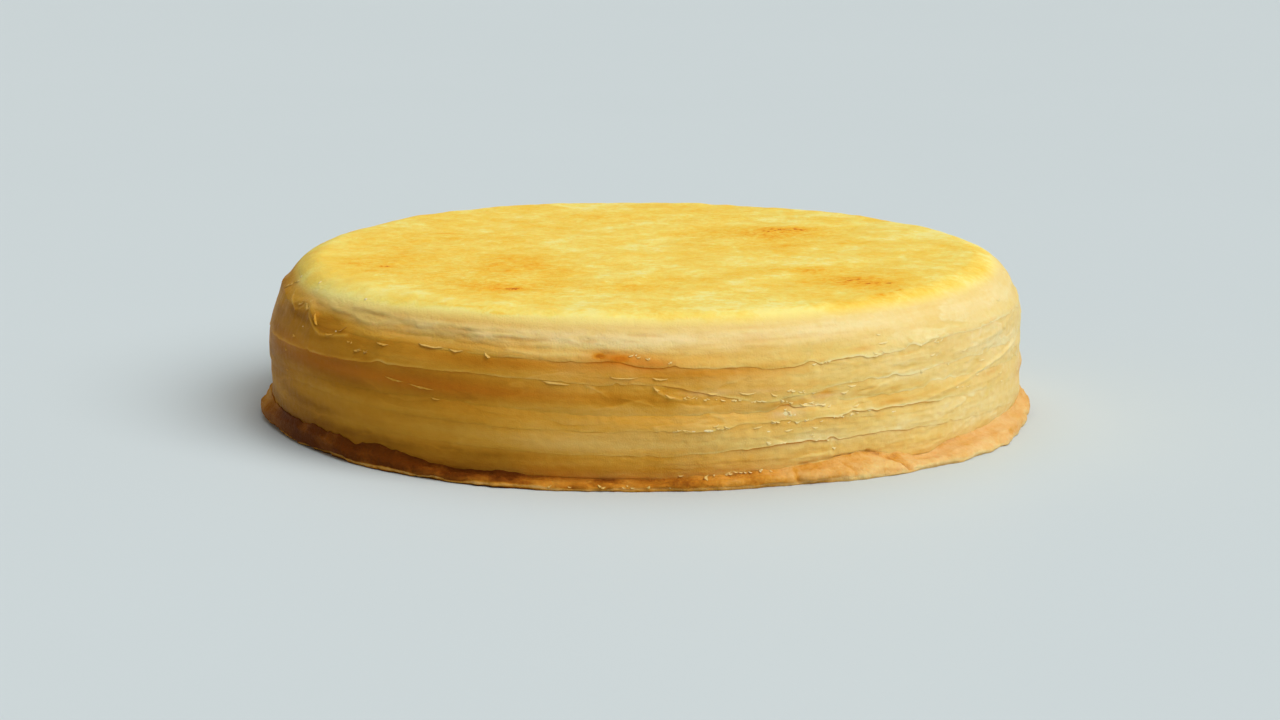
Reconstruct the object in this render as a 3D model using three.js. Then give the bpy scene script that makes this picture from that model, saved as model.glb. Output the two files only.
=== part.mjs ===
// A whole crepe cake, uncut. Crepes are stacked flat, and where their rims droop over the side they show as
// six bands, each ending in a wavy lip that overlaps the band below. A browned top crepe lies over the rounded
// shoulder, and the bottom crepe is turned up round the foot as a frilled collar.
// Millimetres, +Z up. The origin is the centre of the underside. Azimuth 0 is the front (-Y), 90 is +X.
import * as THREE from "three";

// Driving dimensions.
const BODY_RADIUS = 114.3;
const CAKE_HEIGHT = 48.6;
const TOP_CREPE_THICKNESS = 1.8;
const BASE_THICKNESS = 1.6;
const LIP_THICKNESS = 1.2;
const LIP_HEIGHT = 1.1;
const SLIT = 0.4; // the gap between one crepe and the next
const DROOP = 5; // how far a rim hangs below the level that its band has inside the cake
const DROOP_WIDTH = 9; // how far in from the side a rim starts to droop
const SIDES = 120; // facets round the cake
const COLLAR_SIDES = 1.5 * SIDES; // the frill needs finer ones

// What varies round the cake is a mean with waves and bumps on it. A wave is [waves per turn, height, azimuth of
// a crest], and a bump is [azimuth, half width, height].
const SHOULDER_WIDTH = { mean: 16, waves: [[1, 1.4, -90]] };
const SHOULDER_HEIGHT = { mean: 20.5, waves: [[1, 4.3, -90]] };
const ROUNDNESS = { mean: -0.1, waves: [[1, 0.4, -90], [2, 0.2, 40], [3, 0.25, 100], [5, 0.15, 10]] };
const UNEVENNESS = { mean: 0, waves: [[2, 0.25, 60], [3, 0.2, -30]] }; // of the top's height

// The bands from the bottom up. lip is the height of a band's lower edge, and reach is how far that edge stands
// out from the wall.
const SECOND_LAYER = {
  name: "second_layer",
  lip: {
    mean: 9.8,
    waves: [[1, 0.8, -26], [2, 0.3, -4], [3, 0.4, 39], [4, 0.5, 34], [5, 0.4, 34]],
    bumps: [[3, 4, -0.9], [20, 4, 0.9], [152, 6, 1.1], [-118, 5, -1]],
  },
  reach: { mean: 0.3, waves: [[1, 0.5, 60], [3, 0.3, -20]], bumps: [[22, 5, 0.5], [152, 5, 0.6]] },
  colour: 0xe0b25c,
};
const THIRD_LAYER = {
  name: "third_layer",
  lip: {
    mean: 16.3,
    waves: [[1, 1.6, -39], [2, 0.3, 16], [3, 1.1, 43], [4, 0.3, 40]],
    bumps: [[8, 3, -0.8], [-150, 5, -1.2], [124, 5, 1]],
  },
  reach: { mean: 0.8, waves: [[1, 0.2, 30], [2, 0.3, 10]], bumps: [[9, 4, 0.7], [-150, 6, 0.6]] },
  colour: 0xe6bd66,
};
const FOURTH_LAYER = {
  name: "fourth_layer",
  lip: {
    mean: 20.9,
    waves: [[1, 1.1, 5], [3, 0.5, 58], [4, 0.4, -39], [5, 0.3, -22]],
    bumps: [[24, 4, 0.8], [-31, 4, 0.7], [170, 5, -0.8]],
  },
  reach: { mean: 0.4, waves: [[3, 0.3, 60], [4, 0.2, 10]], bumps: [[24, 4, 0.5], [-31, 3, 0.4]] },
  colour: 0xe8c26e,
};
const FIFTH_LAYER = {
  name: "fifth_layer",
  lip: {
    mean: 27.4,
    waves: [[1, 1.5, -20], [2, 0.9, -40], [3, 0.7, -35], [4, 0.4, -39], [5, 0.7, -16]],
    bumps: [[0, 6, 1.8], [18, 7, -2.3], [30, 5, 1], [140, 6, -1.4], [-125, 7, 1.3]],
  },
  reach: { mean: 0.8, waves: [[2, 0.3, -50], [5, 0.2, 30]], bumps: [[-1, 5, 0.6], [20, 5, 0.5], [-36, 4, 0.4]] },
  colour: 0xdca24c,
};
const TOP_CREPE = {
  name: "top_crepe",
  lip: {
    mean: 35.3,
    waves: [[1, 1.3, -45], [2, 1.1, -73], [3, 0.8, -60], [4, 0.6, 3], [5, 0.7, -17]],
    bumps: [[-64, 4, 2.6], [-56, 4, -1.4], [119, 5, 1.8], [-138, 6, -1.3]],
  },
  reach: { mean: 0.6, waves: [[1, 0.3, 60], [3, 0.2, 20], [4, 0.2, 70]], bumps: [[-41, 3, 0.5], [-32, 4, 0.5]] },
  colour: 0xf3cd5e,
};
const BANDS = [SECOND_LAYER, THIRD_LAYER, FOURTH_LAYER, FIFTH_LAYER, TOP_CREPE];
const FIRST_LAYER = { name: "first_layer", inset: 1.1, colour: 0xcf9240 };

// The base crepe's collar, turned up round the foot of the first layer, and the frill at its lower edge.
const COLLAR_HEIGHT = {
  mean: 5.6,
  waves: [[1, 0.5, -167], [2, 1.3, -89], [3, 0.7, 55], [4, 0.4, 19], [5, 0.7, 31], [17, 0.35, 4]],
  bumps: [[33, 4, 1.2], [45, 5, -3.4], [-30, 4, -0.8], [160, 5, -2.2]],
};
const COLLAR_LEAN = { mean: 0.9, waves: [[2, 0.5, 10], [9, 0.25, 12], [17, 0.2, 9]], bumps: [[84, 6, 0.6]] };
const FRILL_REACH = {
  mean: 3.5,
  waves: [[1, 2.1, 62], [5, 1.1, 50], [13, 0.3, 5], [19, 0.25, 11]],
  bumps: [[-88, 7, 1.2], [-28, 16, 1.3], [58, 14, 0.5]],
};
const COLLAR_THICKNESS = 1.1;
const FRILL_THICKNESS = 0.9;
const BASE_CREPE = { name: "base_crepe", colour: 0xd08a3c };

// Folds where the flat top crepe had to give to go round the shoulder.
const PLEATS = {
  mean: 0,
  waves: [],
  bumps: [[-60, 3.5, 1], [-22, 6, 0.4], [6, 5, 0.5], [64, 6, 0.4], [118, 5, 0.8], [171, 6, 0.6], [-133, 5, 0.8]],
};

// The rings that a surface is made of: shares of the way to the shoulder, and of the way round it to the lip.
const TOP_RINGS = [0.5, 1];
const SHOULDER_STEPS = [0.28, 0.53, 0.74, 0.9];
const SEAM_STEPS = [0.3, 0.66];
const SEAM_INSET = 2; // the flat part of the top crepe's underside ends this far inside the shoulder

const radians = THREE.MathUtils.degToRad;

function varied({ mean, waves, bumps = [] }, azimuth) {
  const wave = waves.map(([count, height, crest]) => height * Math.cos(count * radians(azimuth - crest)));
  const bump = bumps.map(([centre, halfWidth, height]) => {
    const away = ((azimuth - centre + 540) % 360) - 180;
    return height * Math.exp(-((away / halfWidth) ** 2));
  });
  return [...wave, ...bump].reduce((sum, value) => sum + value, mean);
}

// The point [radius, height] on the shoulder that lies turn degrees round it, from 0 at the top to 90 at the wall.
function shoulderPoint(azimuth, turn) {
  const width = varied(SHOULDER_WIDTH, azimuth);
  const height = varied(SHOULDER_HEIGHT, azimuth);
  const radius = BODY_RADIUS + varied(ROUNDNESS, azimuth) - width * (1 - Math.sin(radians(turn)));
  return [radius, CAKE_HEIGHT - height * (1 - Math.cos(radians(turn)))];
}

// How far round the shoulder a height lies. The wall is upright below the shoulder.
function turnAt(azimuth, height) {
  const share = (CAKE_HEIGHT - height) / varied(SHOULDER_HEIGHT, azimuth);
  return THREE.MathUtils.radToDeg(Math.acos(THREE.MathUtils.clamp(1 - share, 0, 1)));
}

const wallRadius = (azimuth, height) => shoulderPoint(azimuth, turnAt(azimuth, height))[0];

// The outermost point of a band's lip.
function lipPoint(band, azimuth) {
  const height = varied(band.lip, azimuth);
  return [wallRadius(azimuth, height) + varied(band.reach, azimuth), height + LIP_HEIGHT];
}

function lipBack(band, azimuth) {
  const [radius, height] = lipPoint(band, azimuth);
  return [radius - LIP_THICKNESS, height - 0.7 * LIP_HEIGHT];
}

// The seam under a band, from the flat inside of the cake out to the back of the lip.
function seam(band, azimuth) {
  return [[BODY_RADIUS - DROOP_WIDTH, band.lip.mean + DROOP], lipBack(band, azimuth)];
}

// The seam under the top crepe follows the shoulder.
function topSeam(azimuth) {
  const flatEnd = [shoulderPoint(azimuth, 0)[0] - SEAM_INSET, CAKE_HEIGHT - TOP_CREPE_THICKNESS];
  const lipTurn = turnAt(azimuth, lipPoint(TOP_CREPE, azimuth)[1]);
  const bend = SEAM_STEPS.map((share) => {
    const turn = share * lipTurn;
    const [radius, height] = shoulderPoint(azimuth, turn);
    const lean = radians(turn);
    return [radius - LIP_THICKNESS * Math.sin(lean), height - TOP_CREPE_THICKNESS * Math.cos(lean)];
  });
  return [flatEnd, ...bend, lipBack(TOP_CREPE, azimuth)];
}

const seamUnder = (band, azimuth) => (band === TOP_CREPE ? topSeam(azimuth) : seam(band, azimuth));

// Each face of a seam stands half a slit away from the seam itself.
const shifted = (points, by) => points.map(([radius, height]) => [radius + by, height + by]);

const onAxis = ([, height]) => [0, height];

// The top of what lies under a band, from the axis out to where it comes out from under the band's lip.
function coveredTop(band, azimuth) {
  const covered = shifted(seamUnder(band, azimuth), -SLIT / 2);
  const [lipRadius, lipTop] = lipPoint(band, azimuth);
  const start = [lipRadius - LIP_THICKNESS - SLIT / 2, lipTop - LIP_HEIGHT - SLIT];
  return [onAxis(covered[0]), ...covered, start];
}

// A band's lip and underside, from the lip's outermost point round its lower end and back to the axis.
function lipAndUnderside(band, azimuth) {
  const [radius, height] = lipPoint(band, azimuth);
  const under = shifted(seamUnder(band, azimuth), SLIT / 2).reverse();
  return [[radius, height], [radius - 0.35 * LIP_THICKNESS, height - LIP_HEIGHT], ...under, onAxis(under.at(-1))];
}

// Each profile runs from the axis over the top, down the side and back to the axis along the underside.
function bandProfile(band, above) {
  return (azimuth) => [...coveredTop(above, azimuth), ...lipAndUnderside(band, azimuth)];
}

function firstLayerProfile(azimuth) {
  const foot = BASE_THICKNESS + SLIT;
  const radius = BODY_RADIUS - FIRST_LAYER.inset;
  return [...coveredTop(SECOND_LAYER, azimuth), [radius, foot + LIP_HEIGHT], [radius - LIP_HEIGHT, foot], [0, foot]];
}

function topCrepeProfile(azimuth) {
  const edge = shoulderPoint(azimuth, 0)[0];
  const unevenness = varied(UNEVENNESS, azimuth);
  const pleat = varied(PLEATS, azimuth);
  const flat = TOP_RINGS.map((share) => [share * edge, CAKE_HEIGHT + share ** 2 * unevenness]);
  const lipTurn = turnAt(azimuth, lipPoint(TOP_CREPE, azimuth)[1]);
  const shoulder = SHOULDER_STEPS.map((share) => {
    const turn = share * lipTurn;
    const [radius, height] = shoulderPoint(azimuth, turn);
    const down = turn / 90;
    return [radius + pleat * down, height + (1 - down) ** 2 * unevenness];
  });
  const [lipEdge, lipBottom, ...under] = lipAndUnderside(TOP_CREPE, azimuth);
  const lip = [lipEdge, lipBottom].map(([radius, height]) => [radius + pleat, height]);
  return [[0, CAKE_HEIGHT], ...flat, ...shoulder, ...lip, ...under];
}

function baseCrepeProfile(azimuth) {
  const inner = BODY_RADIUS - FIRST_LAYER.inset + 2 * SLIT;
  const height = Math.min(varied(COLLAR_HEIGHT, azimuth), varied(SECOND_LAYER.lip, azimuth) - 3 * SLIT);
  const top = inner + varied(COLLAR_LEAN, azimuth);
  const shoulder = height - COLLAR_THICKNESS / 2;
  const frill = BODY_RADIUS + varied(FRILL_REACH, azimuth);
  const waist = (top + COLLAR_THICKNESS + frill) / 2;
  return [
    [0, BASE_THICKNESS],
    [inner, BASE_THICKNESS],
    [top, shoulder],
    [top + COLLAR_THICKNESS / 2, height],
    [top + COLLAR_THICKNESS, shoulder],
    [waist, FRILL_THICKNESS + 0.3 * (height - FRILL_THICKNESS)],
    [frill, FRILL_THICKNESS],
    [frill - FRILL_THICKNESS / 2, 0],
    [0, 0],
  ];
}

// A solid of revolution whose profile changes with the azimuth.
function revolved(profile, sides) {
  const outline = profile(0).map(([radius, height]) => new THREE.Vector2(radius, height)).reverse();
  const geometry = new THREE.LatheGeometry(outline, sides);
  const position = geometry.getAttribute("position");
  for (let side = 0; side <= sides; side++) {
    const azimuth = (360 * (side % sides)) / sides;
    const points = profile(azimuth).reverse();
    points.forEach(([radius, height], ring) => {
      const x = radius * Math.sin(radians(azimuth));
      const y = -radius * Math.cos(radians(azimuth));
      position.setXYZ(side * points.length + ring, x, y, height);
    });
  }
  geometry.computeVertexNormals();
  return geometry;
}

function piece({ name, colour }, profile, sides = SIDES) {
  const material = new THREE.MeshStandardMaterial({ color: colour, roughness: 0.5, metalness: 0 });
  const mesh = new THREE.Mesh(revolved(profile, sides), material);
  mesh.name = name;
  return mesh;
}

const cake = new THREE.Group();
cake.add(piece(BASE_CREPE, baseCrepeProfile, COLLAR_SIDES));
cake.add(piece(FIRST_LAYER, firstLayerProfile));
BANDS.slice(0, -1).forEach((band, index) => cake.add(piece(band, bandProfile(band, BANDS[index + 1]))));
cake.add(piece(TOP_CREPE, topCrepeProfile));

export default cake;
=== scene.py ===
"""The looks of the whole crepe cake.

Each solid of the frame is a body of revolution whose outline changes with the azimuth. Its piece here is a
fine mesh made from that same outline, with ragged lips, thin sheet edges, wrinkles, folds and cracks as
relief, and with attributes that say how browned or creamy each point is. Loose flakes and smears of cream
are pieces of their own.

Lengths are in millimetres up to the point where a mesh is made. Azimuths and other angles are in degrees.
Azimuth 0 is the front (-Y) and 90 is +X.
"""
import math

import bpy
import numpy as np
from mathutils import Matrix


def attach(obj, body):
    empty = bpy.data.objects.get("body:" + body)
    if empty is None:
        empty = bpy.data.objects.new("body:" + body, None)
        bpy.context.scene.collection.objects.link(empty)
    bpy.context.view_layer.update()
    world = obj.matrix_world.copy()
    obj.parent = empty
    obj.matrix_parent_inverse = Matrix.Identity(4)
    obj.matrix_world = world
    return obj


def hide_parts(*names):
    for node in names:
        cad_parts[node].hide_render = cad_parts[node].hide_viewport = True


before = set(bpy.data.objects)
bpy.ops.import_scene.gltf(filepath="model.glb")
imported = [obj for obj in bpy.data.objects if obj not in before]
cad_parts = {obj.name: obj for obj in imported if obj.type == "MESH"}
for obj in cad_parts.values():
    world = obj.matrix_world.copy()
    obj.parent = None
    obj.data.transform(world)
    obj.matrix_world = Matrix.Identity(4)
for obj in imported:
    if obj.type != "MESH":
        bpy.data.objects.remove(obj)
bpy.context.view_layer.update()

MM = 0.001
STEPS = 1080  # azimuths round the cake
AZIMUTHS = np.arange(STEPS) * 360 / STEPS
SIDE_RADIUS = 114.0
MM_PER_DEGREE = 2.0  # along the side
FULL_TURN = 2 * math.pi

# The bands from the top down. The rim of each hangs over the top of the next.
BANDS = ["top_crepe", "fifth_layer", "fourth_layer", "third_layer", "second_layer", "first_layer"]

# The lips. slow and quick are the heights of their ragged waves. step is how far a lip stands out from what
# lies under it, and steps are the stretches where it stands out more: [azimuth, half width, more]. A tear is
# [azimuth, half width, height], a flare is a stretch that curls out, [azimuth, half width, reach], and a pale
# stretch of the very edge, a painted highlight where the thin lip catches the light, is [azimuth, half width,
# strength].
LIPS = {
    "top_crepe": {
        "seed": 11, "slow": 0.32, "quick": 0.24, "step": 0.12,
        "steps": [[16, 17, 0.02], [-56, 36, -0.09], [82, 36, -0.09]],
        "tears": [[-4.5, 2.6, 1.0], [24, 1.2, 0.7], [41, 1.5, 0.6]],
        "flares": [[-32, 3, 0.2], [14, 8, 0.15], [33, 7, 0.12]],
        "pale": [[28, 34, 0.8], [-32, 6, 0.5], [150, 60, 0.6]],
    },
    "fifth_layer": {
        "seed": 12, "slow": 0.3, "quick": 0.2, "step": 0.11,
        "steps": [[-40, 30, 0.04], [-6, 8, -0.06], [20, 12, 0.04], [74, 38, -0.09]],
        "tears": [[-41, 1.1, 0.7], [21, 1.4, 1.1], [34, 1, 0.8]],
        "flares": [[-72, 8, 0.3], [-12, 4, 0.2], [0, 5, 0.2], [38, 5, 0.15], [57, 6, 0.1]],
        "pale": [[-50, 34, 0.9], [35, 34, 0.7], [-140, 50, 0.6]],
    },
    "fourth_layer": {
        "seed": 13, "slow": 0.3, "quick": 0.3, "step": 0.11,
        "steps": [[-48, 56, -0.1], [24, 12, 0.08], [74, 38, -0.09]],
        "tears": [[20, 1.6, 1.2], [27.5, 1.2, 1], [47, 1.5, 0.6]],
        "flares": [[23, 5, 0.25], [40, 6, 0.15], [70, 7, 0.1]],
        "pale": [[34, 26, 0.8], [140, 60, 0.5]],
    },
    "third_layer": {
        "seed": 14, "slow": 0.28, "quick": 0.26, "step": 0.11,
        "steps": [[-46, 58, -0.1], [42, 14, 0.05], [80, 28, -0.09]],
        "tears": [[14, 1.2, 0.8], [31, 1.4, 0.7], [58, 2, 0.5]],
        "flares": [[9, 4, 0.2], [30, 6, 0.2], [62, 7, 0.15]],
        "pale": [[32, 24, 0.8], [-150, 50, 0.5]],
    },
    "second_layer": {
        "seed": 15, "slow": 0.25, "quick": 0.16, "step": 0.1,
        "steps": [[-48, 58, -0.09], [28, 14, 0.05], [72, 34, -0.08]],
        "tears": [[27.7, 0.8, 1], [66, 1.5, 0.7]],
        "flares": [[14, 12, 0.12], [60, 6, 0.12]],
        "pale": [[16, 18, 0.7], [150, 50, 0.5]],
    },
}
# More tears and flares on each lip: how many, and the range of each value.
RANDOM_TEARS = [26, (0, 360), (0.3, 1.2), (0.2, 0.7)]
RANDOM_FLARES = [30, (0, 360), (0.6, 3), (0.05, 0.22)]
LIP_ROUNDING = 0.3  # height of a lip's rounded edge
LEAST_STEP = 0.02
FULLY_ROUNDED_STEP = 0.09  # a lip that stands out less is rounded less
FULLY_FLARED_STEP = 0.14  # a lip that stands out less curls out less
HIGHLIGHT_ABOVE, HIGHLIGHT_BELOW = 0.5, 0.15  # how far the painted highlight on the edge of a lip reaches up and down
LIP_ROWS = 7  # rows of mesh from a lip's outermost point round its lower end
LIP_BOTTOM_ROW = 3  # the lowest of them
CURL_HEIGHT = 2.0  # how much of a lip curls out
CURL_ROWS = 14  # and how many rows it may have above the outermost point

# Sheet edges that show within the bands: [azimuth, half width, height, how far they stand out].
SHEET_EDGES = {
    "top_crepe": [[-25, 26, 41.2, 0.14], [20, 22, 39.5, 0.12], [62, 22, 38.2, 0.08], [-110, 30, 40, 0.2],
                  [120, 30, 41, 0.22], [180, 40, 39.5, 0.22]],
    "fifth_layer": [[52, 26, 32.3, 0.08], [24, 12, 34, 0.15], [2, 9, 31.6, 0.22], [-35, 16, 33.8, 0.1],
                    [115, 35, 31, 0.25], [165, 30, 33, 0.22], [-150, 35, 31.8, 0.24], [-98, 22, 33, 0.15]],
    "fourth_layer": [[60, 24, 26.6, 0.08], [25, 10, 25.4, 0.2], [-50, 30, 26, 0.05], [130, 40, 25.5, 0.25],
                     [-160, 40, 26, 0.25], [-100, 20, 25, 0.12]],
    "third_layer": [[44, 24, 19.4, 0.1], [15, 10, 20.3, 0.18], [135, 35, 19.5, 0.22], [-140, 35, 19, 0.22]],
    "second_layer": [[62, 22, 14.2, 0.08], [18, 12, 14.3, 0.12], [140, 40, 13.5, 0.22],
                     [-125, 40, 13.8, 0.16]],
    "first_layer": [[25, 25, 7.2, 0.2], [110, 40, 7, 0.2], [-150, 40, 7.5, 0.2]],
    "base_crepe": [[32, 14, 4.4, 0.35], [68, 18, 3.4, 0.35], [8, 12, 1.9, 0.3], [-60, 25, 3.2, 0.12],
                   [150, 50, 3.6, 0.3], [-130, 40, 3.4, 0.3]],
}

# Lines on the side: [list of [azimuth, height], half width, height, how pale]. A crack's height is negative.
PLEAT = [[-62.2, 40.6], [-61.4, 38.4], [-59.3, 37.0], [-58.0, 35.6], [-56.3, 34.7], [-53.9, 34.9],
         [-49.4, 36.3]]
FLAP = [[-73.6, 41.6], [-71.9, 40.0], [-70.1, 39.4], [-68.0, 38.3], [-66.0, 39.3], [-63.4, 41.9]]
LINES = [
    [PLEAT, 0.4, 0.16, 0.6],
    [FLAP, 0.35, 0.18, 0.6],
    [[[-57.6, 43.0], [-54.5, 42.0], [-50.4, 41.8], [-46, 40.6], [-43.2, 41.0]], 0.6, 0.3, 0.35],
    [[[-51, 42.5], [-47.3, 42.6], [-44, 42.6]], 0.4, -0.25, 0],
    [[[-51.1, 43.6], [-47.0, 44.1], [-43.8, 43.9], [-38.8, 43.3], [-33, 42.8]], 0.6, 0.3, 0.3],
    [[[-36, 41.9], [-24.3, 41.6], [-12.1, 41.5], [-6.3, 41.0]], 0.5, 0.25, 0.3],
    [[[-33, 43.4], [-20, 43.2], [-8, 43.3]], 0.5, 0.2, 0.3],
    [[[-20, 38.4], [-15, 37.6], [-9.8, 38.1], [-7.7, 37.8]], 0.5, 0.25, 0.5],
    [[[21.8, 3.9], [21.5, 2.4], [22, 0.8]], 0.6, -0.6, -0.8],
    [[[22.6, 5.1], [28, 6], [34.1, 6.6]], 0.4, -0.5, -0.4],
    [[[34.1, 6.6], [37, 4.2], [39.5, 0.9]], 0.6, -0.7, -0.8],
    [[[29.4, 4.2], [30.4, 2.6], [30.2, 1.2]], 0.6, -0.4, -0.6],
    [[[27.7, 11.2], [27.5, 8.5], [27.8, 6.4]], 0.5, 0.3, 0.3],
    [[[46, 19.8], [54, 21.6], [61, 23.6], [67, 24.6], [76, 27]], 0.6, 0.35, 0.2],
    [[[52, 31], [60, 31.6], [68, 33.2], [74, 35.8]], 0.8, 0.2, 0.15],
    [[[1.4, 29.4], [1.9, 28], [3, 26.8], [5, 25.8], [6.4, 26]], 0.4, 0.26, 0.5],
    [[[-8, 29.6], [-6.6, 28.4], [-5, 26.6]], 0.25, 0.1, 0.35],
    [[[-3, 26.4], [-1, 25.4], [1, 24.4], [1.6, 23.2]], 0.25, 0.1, 0.35],
]

# Hollows and swellings on the side: [azimuth, height, half width, half height, how far out they reach].
HOLLOWS = [
    [-6.2, 37.6, 2.4, 1.4, -0.25], [-2.8, 36.5, 1.6, 1, -0.2], [0.6, 36.8, 1.8, 1.1, 0.3],
    [-4.4, 39, 3, 0.8, 0.3], [20.2, 24.2, 2.4, 1, -0.4], [24.3, 23.6, 1.6, 1.4, -0.4],
    [27.3, 21.6, 2.6, 0.9, -0.3], [-54, 38.4, 7, 1.8, -0.5], [33, 31.5, 2.2, 1.3, -0.25],
    [53, 23.5, 2.5, 1.2, -0.25], [38, 26.8, 3, 1, -0.2], [-48, 20, 12, 2, 0.2], [88, 15.3, 9, 2.4, 0.9],
    [-34, 38.6, 8, 1.6, -0.25], [-80, 44, 16, 3.4, -1.1], [-86, 32, 26, 15, -0.9],
]

# How browned the crepes are round the cake, from 0 pale to 1 brown: [azimuth, level]. The high levels on
# the left of both tables are partly browner crepe and partly painted shade, as that side is turned from the
# key light.
SIDE_LEVELS = [
    [-180, 0.45], [-140, 0.56], [-100, 0.74], [-60, 0.83], [-30, 0.75], [0, 0.56], [30, 0.27], [60, 0.14],
    [100, 0.2], [140, 0.34],
]
BASE_LEVELS = [
    [-180, 0.65], [-130, 0.76], [-90, 0.8], [-66, 1.0], [-28, 1.06], [-10, 0.92], [10, 0.7], [30, 0.44],
    [60, 0.42], [90, 0.5], [140, 0.58],
]

# More browning, or less, on the side, then amber, partly moist crepe and partly painted shade under lips and
# in hollows, cream, and more browning on the base: [azimuth, half width, height, half height, strength].
BROWNED = [
    [-42, 30, 26.4, 3.4, 0.12], [-12, 22, 34.2, 2, 0.06], [12, 13, 33.4, 1.6, 0.08], [2, 13, 25, 1.7, 0.12],
    [-34, 36, 42.8, 3.2, -0.42], [-50, 14, 42.2, 2, -0.08], [12, 26, 42.6, 3.2, -0.3],
    [-4, 24, 13, 2.2, -0.2], [40, 26, 13.5, 2.4, -0.08], [-66, 9, 37.2, 2.4, 0.14],
    [-22, 20, 37.6, 1.8, -0.14], [-10, 40, 40.2, 1.8, -0.1], [-66, 12, 22, 9, 0.06],
    [-35, 8, 33.4, 1.6, -0.08], [-22, 7, 30.8, 1.2, -0.06], [-20, 12, 26.6, 1.8, 0.08],
    [40, 7, 26.8, 1.6, -0.14], [42, 7, 20, 1.2, 0.08], [73, 12, 18.8, 3, 0.13], [54, 12, 19.5, 3, 0.05],
    [-55, 5, 39, 1.6, 0.1], [-34, 7, 5, 1.8, -0.12], [-66, 8, 30.8, 1.4, 0.06], [-48, 32, 18, 3.4, -0.05],
    [-50, 46, 6.8, 3, 0.12], [-12, 22, 8.6, 1.6, 0.08], [25, 14, 7.8, 2.2, 0.1], [10, 8, 5, 1.6, -0.06],
    [25, 18, 28.8, 1.8, 0.07], [86, 7, 15.3, 2.4, 0.25], [-6.3, 0.8, 37.7, 0.6, 0.8],
    [-3.4, 1, 37.1, 0.7, 0.8], [-38.6, 3, 40.8, 0.8, 0.1], [-37.8, 4, 37, 0.9, 0.1],
    [19.8, 2, 23.2, 0.7, 0.14], [23, 1.5, 23.5, 0.9, 0.14], [26.6, 1.5, 25.2, 1.2, 0.2],
    [63, 3, 21.5, 0.8, 0.18], [56.8, 4, 3.3, 0.7, 0.2], [48.4, 1.5, 35.1, 0.7, 0.14],
    [38.8, 3, 20.2, 0.7, 0.16], [33.1, 2, 36.5, 0.7, 0.16], [-66, 22, 45.6, 2.2, -0.6],
    [-5, 17, 45.9, 1.5, -0.28], [-50, 8, 40, 1.5, -0.06], [-5, 8, 40, 1.4, -0.13], [-12, 14, 37, 1.4, -0.1],
    [40, 8, 34, 1.5, -0.07], [45, 12, 38, 2, -0.1], [60, 40, 4, 2, 0.1], [150, 50, 26, 4, 0.14],
    [-150, 40, 20, 4, 0.12],
]
AMBER = [
    [-42, 28, 26.8, 2.8, 0.75], [-14, 20, 34.4, 1.7, 0.35], [8, 9, 33.4, 1.2, 0.3], [-4, 4, 37.2, 2, 0.8],
    [1.5, 3, 36, 1.4, 0.5], [-17, 5, 36, 1.1, 0.25], [-66, 8, 30.4, 1.4, 0.3], [20, 2, 23.3, 0.8, 0.2],
    [26.4, 1.6, 25.1, 1.1, 0.25], [-50, 30, 4, 2, 0.3], [-20, 14, 26.4, 1.6, 0.2], [8, 9, 31.4, 1.2, 0.2],
    [-6, 7, 31, 1.2, 0.18], [63, 3, 21.5, 0.8, 0.2], [38.8, 3, 20.2, 0.7, 0.2], [33.1, 2, 36.5, 0.7, 0.2],
    [86, 8, 15, 2.4, 0.4], [-150, 50, 26, 3, 0.3], [160, 40, 20, 3, 0.2],
]
CREAMY = [
    [-18, 24, 42.6, 2.2, 0.3], [-34, 20, 40.4, 1.2, 0.1], [10, 22, 41.4, 3, 0.25], [60, 36, 38, 7, 0.2],
    [20.5, 2.4, 20.3, 1.4, 0.5], [86, 9, 15, 12, 0.25], [25, 3.5, 22.2, 0.7, 0.4], [25, 6, 24.4, 0.9, 0.3],
    [12, 9, 27.5, 1, 0.25], [68, 24, 20, 9, 0.2], [64, 22, 30, 4, 0.15], [170, 50, 40, 3, 0.25],
    [-120, 30, 41, 2.4, 0.3],
]
BASE_BROWNED = [
    [-37, 8, 4.5, 2.6, -0.02], [40, 5, 2, 1, -0.1], [-8, 20, 1.6, 1, -0.07], [-66, 9, 8, 2, 0.06],
    [-52, 8, 4, 2, -0.06], [-12, 5, 2, 1, -0.1], [-4, 3, 1.6, 0.8, 0.05], [8, 3, 1.8, 0.8, 0.06],
    [14, 6, 1.4, 0.7, 0.08], [20, 4, 3, 1, -0.08], [26, 3, 1, 0.8, 0.1], [46, 3, 5, 1.6, 0.1],
    [55, 14, 5, 1.6, 0.15], [25, 7, 4.6, 1.4, 0.1], [-86, 10, 6, 5, -0.14], [70, 4, 2, 0.8, 0.14],
    [78, 6, 7, 1.4, 0.1], [57, 4, 3.3, 0.7, 0.14], [-24, 8, 1.2, 0.6, -0.16],
]

# Browning on the top: [x, y, half size along x, half size along y, strength].
TOP_BROWNED = [
    [-42, -36, 20, 30, 0.3], [-78, -20, 12, 20, 0.22], [-43, -62, 16, 9, 0.2], [-4, -60, 12, 7, 0.24],
    [9, -47, 9, 6, 0.2], [-54, 22, 24, 13, 0.14], [37, 34, 20, 12, 0.44], [46, 43, 10, 7, 0.34],
    [50, -33, 12, 6, 0.36], [62, -51, 12, 9, 0.42], [66, -60, 8, 4, 0.2], [40, 12, 18, 10, 0.14],
    [-92, -46, 13, 16, -0.1], [-65, -40, 8, 9, 0.12], [78, 42, 9, 12, -0.1], [0, 66, 40, 9, 0.1],
    [88, 30, 12, 30, -0.05], [74, 54, 8, 10, -0.1], [0, -96, 60, 8, -0.17], [2, -95, 16, 9, 0.2],
    [-62, -74, 14, 8, -0.12], [74, -74, 8, 4, 0.14], [103, -27, 4, 10, 0.12], [-50, -88, 12, 6, -0.1],
    [-27, -100, 10, 6, -0.09], [27, -92, 8, 6, 0.06],
]
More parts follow.
